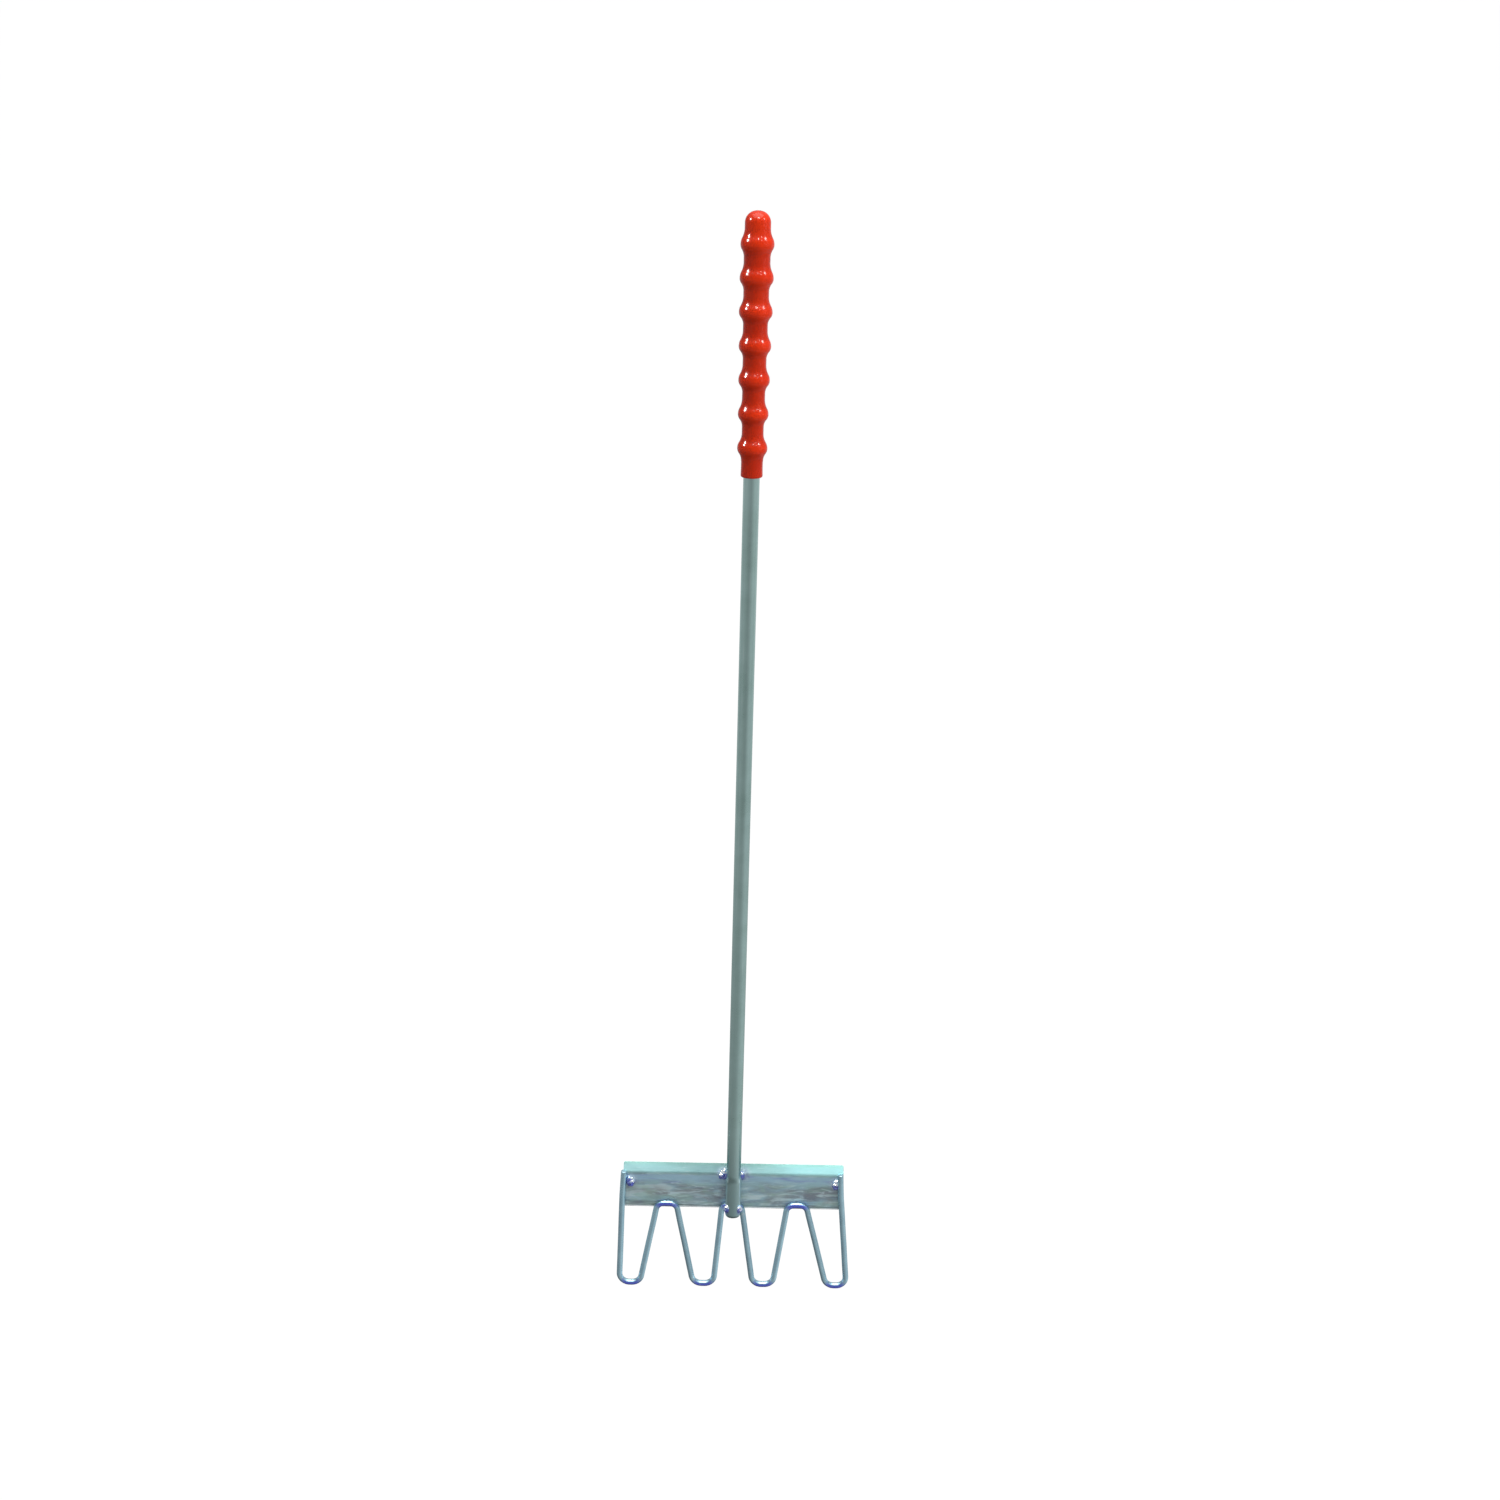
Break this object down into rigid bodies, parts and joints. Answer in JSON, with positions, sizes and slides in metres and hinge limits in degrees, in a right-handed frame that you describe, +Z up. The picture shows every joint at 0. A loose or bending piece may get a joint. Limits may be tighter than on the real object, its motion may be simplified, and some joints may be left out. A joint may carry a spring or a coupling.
{
  "type": "hand fork",
  "caption": "Long-handled hand fork: ribbed grip, steel tube handle, scraper blade with a bent-back flange, and one bent wire forming hanging loop tines.",
  "frame": {"origin": "on the handle tube's axis, at the height of the lowest point of the wire loops", "axes": "+Z up the handle to the grip, -Y the front, where the wire lies on the blade, +X to the right seen from the front"},
  "size_m": [0.2, 0.024, 0.893],
  "materials": {
    "tube_zinc": "satin zinc plate",
    "sheet_zinc": "satin zinc plate, clouded",
    "wire_zinc": "bright zinc plate",
    "weld_metal": "bright weld bead",
    "red_plastic": "glossy dipped plastic"
  },
  "bodies": {
    "root": {"handle_tube": "tube_zinc", "grip": "red_plastic", "blade": "sheet_zinc", "tine_wire": "wire_zinc", "tube_weld_upper_left": "weld_metal", "tube_weld_upper_right": "weld_metal", "tube_weld_lower_left": "weld_metal", "tube_weld_lower_right": "weld_metal", "wire_end_weld_left": "weld_metal", "wire_end_weld_right": "weld_metal"}
  },
  "joints": []
}
